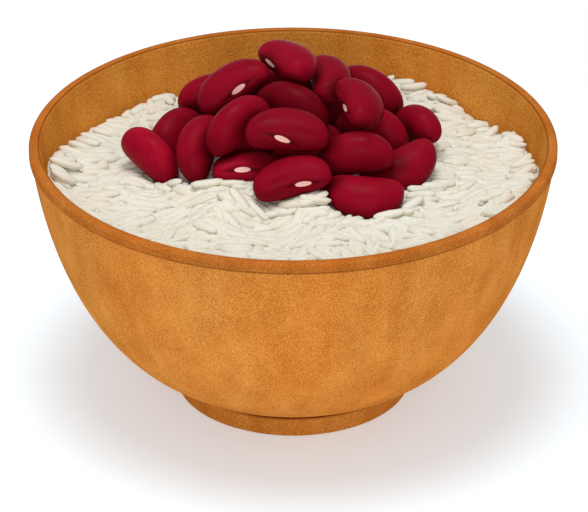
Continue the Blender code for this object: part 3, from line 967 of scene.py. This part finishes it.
def grain_directions(x, y, heading, tilt, roll):
    """Directions of grains (n, 3, 3), as columns: along the slope in a heading, tilted and rolled."""
    rise_x = (rice_level(x + SLOPE_STEP, y) - rice_level(x - SLOPE_STEP, y)) / (2 * SLOPE_STEP)
    rise_y = (rice_level(x, y + SLOPE_STEP) - rice_level(x, y - SLOPE_STEP)) / (2 * SLOPE_STEP)
    climb = rise_x * np.cos(heading) + rise_y * np.sin(heading) + np.tan(tilt)
    along = np.stack([np.cos(heading), np.sin(heading), climb], 1)
    along /= np.linalg.norm(along, axis=1)[:, None]
    up = np.stack([-rise_x, -rise_y, np.ones_like(x)], 1)
    side = np.cross(up, along)
    side /= np.linalg.norm(side, axis=1)[:, None]
    up = np.cross(along, side)
    cos, sin = np.cos(roll)[:, None], np.sin(roll)[:, None]
    return np.stack([along, side * cos + up * sin, up * cos - side * sin], 2)


# %% Settling
TOUCH_PLACES = np.array([-0.95, -0.5, 0.0, 0.5, 0.95])   # shares of a grain's half length
TOUCH_WIDTH = 0.7
SETTLE_ROUNDS = 14
SETTLE_SHARE = 0.6
SETTLE_RISE = (-0.15 * MM, 0.10 * MM)
WALL_GAP = 0.2 * MM


def push_from_beans(middles, points, half):
    """The way out of the beans for each grain, and how deep its deepest point lies in one."""
    push = np.zeros_like(middles)
    deepest = np.zeros(len(middles))
    for bean in BEANS:
        near = np.linalg.norm(middles - bean[0], axis=1) < BEAN_LENGTH
        if not near.any():
            continue
        depth, outward = bean_depth(points[near], bean)
        depth = depth + half[near, 1, None] * TOUCH_WIDTH
        worst = np.argmax(depth, 1)
        line = np.arange(len(worst))
        deep = np.maximum(depth[line, worst], 0)
        push[near] += outward[line, worst] * deep[:, None]
        deepest[near] = np.maximum(deepest[near], deep)
    return push, deepest


def settle(middles, directions, half):
    """Moves grains out of the beans and off the wall. Gives their middles and how deep they still are."""
    reach = directions[:, None, :, 0] * (TOUCH_PLACES[None, :, None] * half[:, None, :1])
    for _ in range(SETTLE_ROUNDS):
        push, deepest = push_from_beans(middles, middles[:, None] + reach, half)
        push[:, 2] = np.clip(push[:, 2], *SETTLE_RISE)
        middles = middles + SETTLE_SHARE * push
        points = middles[:, None] + reach
        room = inside_radius(WALL_GAP, points[..., 2]) - half[:, None, 1]
        over = np.maximum((np.hypot(points[..., 0], points[..., 1]) - room).max(1), 0)
        radius = np.hypot(middles[:, 0], middles[:, 1])
        middles[:, :2] *= (1 - over / np.maximum(radius, MM))[:, None]
    return middles, deepest


# %% Kinds of grains
GRAIN_KINDS = {   # share of all grains, then the limits of length, width and bend in millimetres
    "rice_grains_whole": (0.44, (6.9, 8.4), (2.5, 3.0), (0.0, 0.25)),
    "rice_grains_bent": (0.38, (6.7, 8.2), (2.5, 3.0), (0.4, 0.9)),
    "rice_grains_broken": (0.18, (3.8, 5.6), (2.3, 2.7), (0.0, 0.2)),
}
GRAIN_FLATNESS = (0.62, 0.78)
GRAIN_BLUNTNESS = (2.6, 3.6)
ROLL_SPREAD = 0.25
EDGE_GAP = 0.8 * MM
STILL_TOO_DEEP = 0.5 * MM
COVERED_BY = 2.0 * MM


def layer_places(layer, chance):
    """The places of a layer's grains, only at the beans or at the wall if the layer says so."""
    x, y = staggered_places(layer["spacing"], RIM_RADIUS, chance)
    wall_gap = inside_radius(0.0, rice_level(x, y)) - np.hypot(x, y)
    kept = wall_gap > EDGE_GAP
    if "at_beans" in layer:
        nearest, furthest = layer["at_beans"]
        gap = gap_to_beans(np.stack([x, y, rice_level(x, y) + layer["height"]], 1))
        kept &= (gap > nearest) & (gap < furthest)
    if "at_wall" in layer:
        nearest, furthest = layer["at_wall"]
        kept &= (wall_gap > nearest) & (wall_gap < furthest) & (y > WALL_GRAINS_FROM)
    return x[kept], y[kept]


# %% One layer
def lay_grains(layer, chance):
    """One layer: kind, half sizes, bend, bluntness, middle, directions and tone of each grain."""
    x, y = layer_places(layer, chance)
    count = len(x)
    shares, *limits = zip(*GRAIN_KINDS.values())
    kinds = chance.choice(len(GRAIN_KINDS), count, p=shares)
    length, width, bend = (
        MM * (limit[kinds, 0] + (limit[kinds, 1] - limit[kinds, 0]) * chance.uniform(0, 1, count))
        for limit in map(np.array, limits)
    )
    half = np.stack([length / 2, width / 2, width / 2 * chance.uniform(*GRAIN_FLATNESS, count)], 1)
    heading = HEADING_SWING * ripple(x, y, HEADING_WAVES) + chance.normal(0, HEADING_SPREAD, count)
    if "at_wall" in layer:
        heading = heading + chance.normal(0, WALL_HEADING_SPREAD, count)
    tilt = np.radians(chance.normal(0, layer["tilt"], count))
    roll = chance.normal(0, ROLL_SPREAD, count)
    directions = grain_directions(x, y, heading, tilt, roll)
    level = rice_level(x, y) + layer["height"] + chance.normal(0, 1, count) * layer["spread"]
    level = level + CLUMP_HEIGHT * ripple(x, y, CLUMP_WAVES) - half[:, 2] * 0.5
    middles, deepest = settle(np.stack([x, y, level], 1), directions, half)
    covered = below_beans(middles[:, 0], middles[:, 1]) < middles[:, 2] - COVERED_BY
    kept = (deepest < STILL_TOO_DEEP) & ~covered
    blunt = chance.uniform(*GRAIN_BLUNTNESS, count)
    tone = chance.uniform(0, 1, count)
    return [values[kept] for values in (kinds, half, bend, blunt, middles, directions, tone)]


# %% All the grains
GRAIN_SEED = 5
# how deep below the heap's surface the painted shade of the creases begins and is full
CREASE_SHADE_DEPTHS = (0.1 * MM, 1.9 * MM)


def crease_shade(points):
    """How much painted shade points get in the creases of the heap, by how deep they lie, from 0 to 1."""
    return soft_step(rice_level(points[..., 0], points[..., 1]) - points[..., 2], *CREASE_SHADE_DEPTHS)


def make_grains(material):
    """Every layer's grains, joined into one piece for each kind."""
    chance = np.random.RandomState(GRAIN_SEED)
    layers = [lay_grains(layer, chance) for layer in LAYERS]
    kinds, half, bend, blunt, middles, directions, tone = (np.concatenate(row) for row in zip(*layers))
    for number, name in enumerate(GRAIN_KINDS):
        mine = kinds == number
        rings, tips = grain_forms(half[mine], bend[mine], blunt[mine])
        rings = np.einsum("nrap,nqp->nraq", rings, directions[mine]) + middles[mine, None, None]
        tips = np.einsum("ntp,nqp->ntq", tips, directions[mine]) + middles[mine, None]
        mesh = closed_rounds(name, rings, tips)
        ring_tone = np.broadcast_to(tone[mine, None, None], rings.shape[:3])
        paint(mesh, "tone", ring_tone, np.repeat(tone[mine, None], 2, 1))
        # painted shade in the creases, by depth
        paint(mesh, "depth", crease_shade(rings), crease_shade(tips))
        print(name, mine.sum(), "grains,", len(mesh.polygons), "faces")
        show(mesh, material, "rice")


# %% [markdown]
# ## Rice finish
#
# Cooked rice is a warm white with hardly any shine. Some grains are creamier than others, and
# the creases between them are painted a soft grey green, as shade. Letting light through the
# grains would blur them together, so the finish is plain, and the shade in the creases is
# painted by depth, which keeps the lines between the grains even in soft light.

# %% Rice finish
GRAIN_WHITE = (0.730, 0.720, 0.632)
GRAIN_CREAM = (0.730, 0.682, 0.565)
GRAIN_CREASE_SHADE = (0.640, 0.642, 0.553)
RICE_ROUGHNESS = 0.55
RICE_SPECULAR = 0.1
RICE_CLOUDS = (400.0, 0.25)   # scale and amount of each pattern
RICE_DRIFTS = (60.0, 1.6)
CREASE_SHADE_SHARE = 0.9
RICE_BUMP = (0.2, 0.2 * MM)


def make_rice_finish():
    """Each grain's tone picks its white, clouds vary it, and painted shade by depth turns it grey green.
    """
    made, tree, shader, place = new_finish("cooked_rice", RICE_ROUGHNESS, RICE_SPECULAR)
    clouds = place_group(tree, PATCHES, place, *RICE_CLOUDS)
    share = calculate(tree, "MULTIPLY", attribute(tree, "tone"), clouds)
    share = calculate(tree, "MULTIPLY", share, place_group(tree, PATCHES, place, *RICE_DRIFTS))
    colour = blend_colour(tree, share, GRAIN_WHITE, GRAIN_CREAM)
    # painted shade in the creases, by depth
    depth = calculate(tree, "MULTIPLY", attribute(tree, "depth"), CREASE_SHADE_SHARE)
    colour = blend_colour(tree, depth, colour, GRAIN_CREASE_SHADE)
    tree.links.new(colour, shader.inputs["Base Color"])
    bump(tree, shader, clouds, *RICE_BUMP)
    print("rice finish:", len(tree.nodes), "nodes")
    return made


RICE = make_rice_finish()
make_core(RICE)
make_grains(RICE)

# %% [markdown]
# ## Floor, light and camera
#
# The dish stands on a plain pale floor, which glows a little so that it stays near white. The
# light is even from all round, with two wide soft lamps, one overhead and one in front, as a
# single lamp would throw hard shadows between the beans. The camera looks down at 28.4 degrees
# from straight in front, from a metre away through a long lens, which is the perspective that
# the ellipses of the rim and foot give.

# %% Floor
FLOOR_HALF = 4.0
FLOOR_COLOUR = (0.66, 0.77, 0.84, 1.0)
FLOOR_GLOW = 0.36
FLOOR_ROUGHNESS = 0.9
WHITE = (1.0, 1.0, 1.0, 1.0)


def make_floor():
    """A wide flat floor just under the foot."""
    mesh = bpy.data.meshes.new("floor")
    corners = [(-FLOOR_HALF, -FLOOR_HALF, 0), (FLOOR_HALF, -FLOOR_HALF, 0),
               (FLOOR_HALF, FLOOR_HALF, 0), (-FLOOR_HALF, FLOOR_HALF, 0)]
    mesh.from_pydata(corners, [], [(0, 1, 2, 3)])
    floor = new_object("floor", mesh)
    made, _, shader, _ = new_finish("pale_floor", FLOOR_ROUGHNESS, 0.0)
    shader.inputs["Base Color"].default_value = FLOOR_COLOUR
    shader.inputs["Emission Color"].default_value = WHITE
    shader.inputs["Emission Strength"].default_value = FLOOR_GLOW
    mesh.materials.append(made)
    print("floor:", 2 * FLOOR_HALF, "m wide")


make_floor()

# %% Light
WORLD_STRENGTH = 0.46
LAMPS = {   # place, size across and power
    "overhead": (Vector((-0.04, -0.06, 0.95)), 0.45, 5.2),
    "front": (Vector((0.0, -1.10, 0.45)), 0.60, 3.8),
}
LAMP_AIM = Vector((0.0, 0.0, 0.05))


def make_light():
    """An even white surround and two wide lamps, one overhead and one in front."""
    world = bpy.data.worlds.new("surround")
    world.use_nodes = True
    background = world.node_tree.nodes["Background"]
    background.inputs["Color"].default_value = WHITE
    background.inputs["Strength"].default_value = WORLD_STRENGTH
    bpy.context.scene.world = world
    for name, (place, size, power) in LAMPS.items():
        lamp = bpy.data.lights.new(name, "AREA")
        lamp.shape = "DISK"
        lamp.size = size
        lamp.energy = power
        holder = new_object(name, lamp)
        holder.location = place
        holder.rotation_euler = (LAMP_AIM - place).to_track_quat("-Z", "Y").to_euler()
        print("lamp:", name, "of", power, "watts")


make_light()

# %% Camera
CAMERA_ELEVATION = math.radians(28.4)
CAMERA_DISTANCE = 1.0
CAMERA_LENS = 245.0
CAMERA_AIM = Vector((0.0002, 0.0, 0.0351))


def make_camera():
    """A long lens in front of the dish, looking down at it."""
    camera = bpy.data.cameras.new("camera")
    camera.lens = CAMERA_LENS
    camera.sensor_width = 36.0
    camera.clip_start = 0.05
    camera.clip_end = 20.0
    holder = new_object("camera", camera)
    back = Vector((0.0, -math.cos(CAMERA_ELEVATION), math.sin(CAMERA_ELEVATION)))
    holder.location = CAMERA_AIM + back * CAMERA_DISTANCE
    holder.rotation_euler = (-back).to_track_quat("-Z", "Y").to_euler()
    bpy.context.scene.camera = holder
    print("camera at", [round(value, 3) for value in holder.location])


make_camera()
bpy.context.scene.view_settings.view_transform = "Standard"
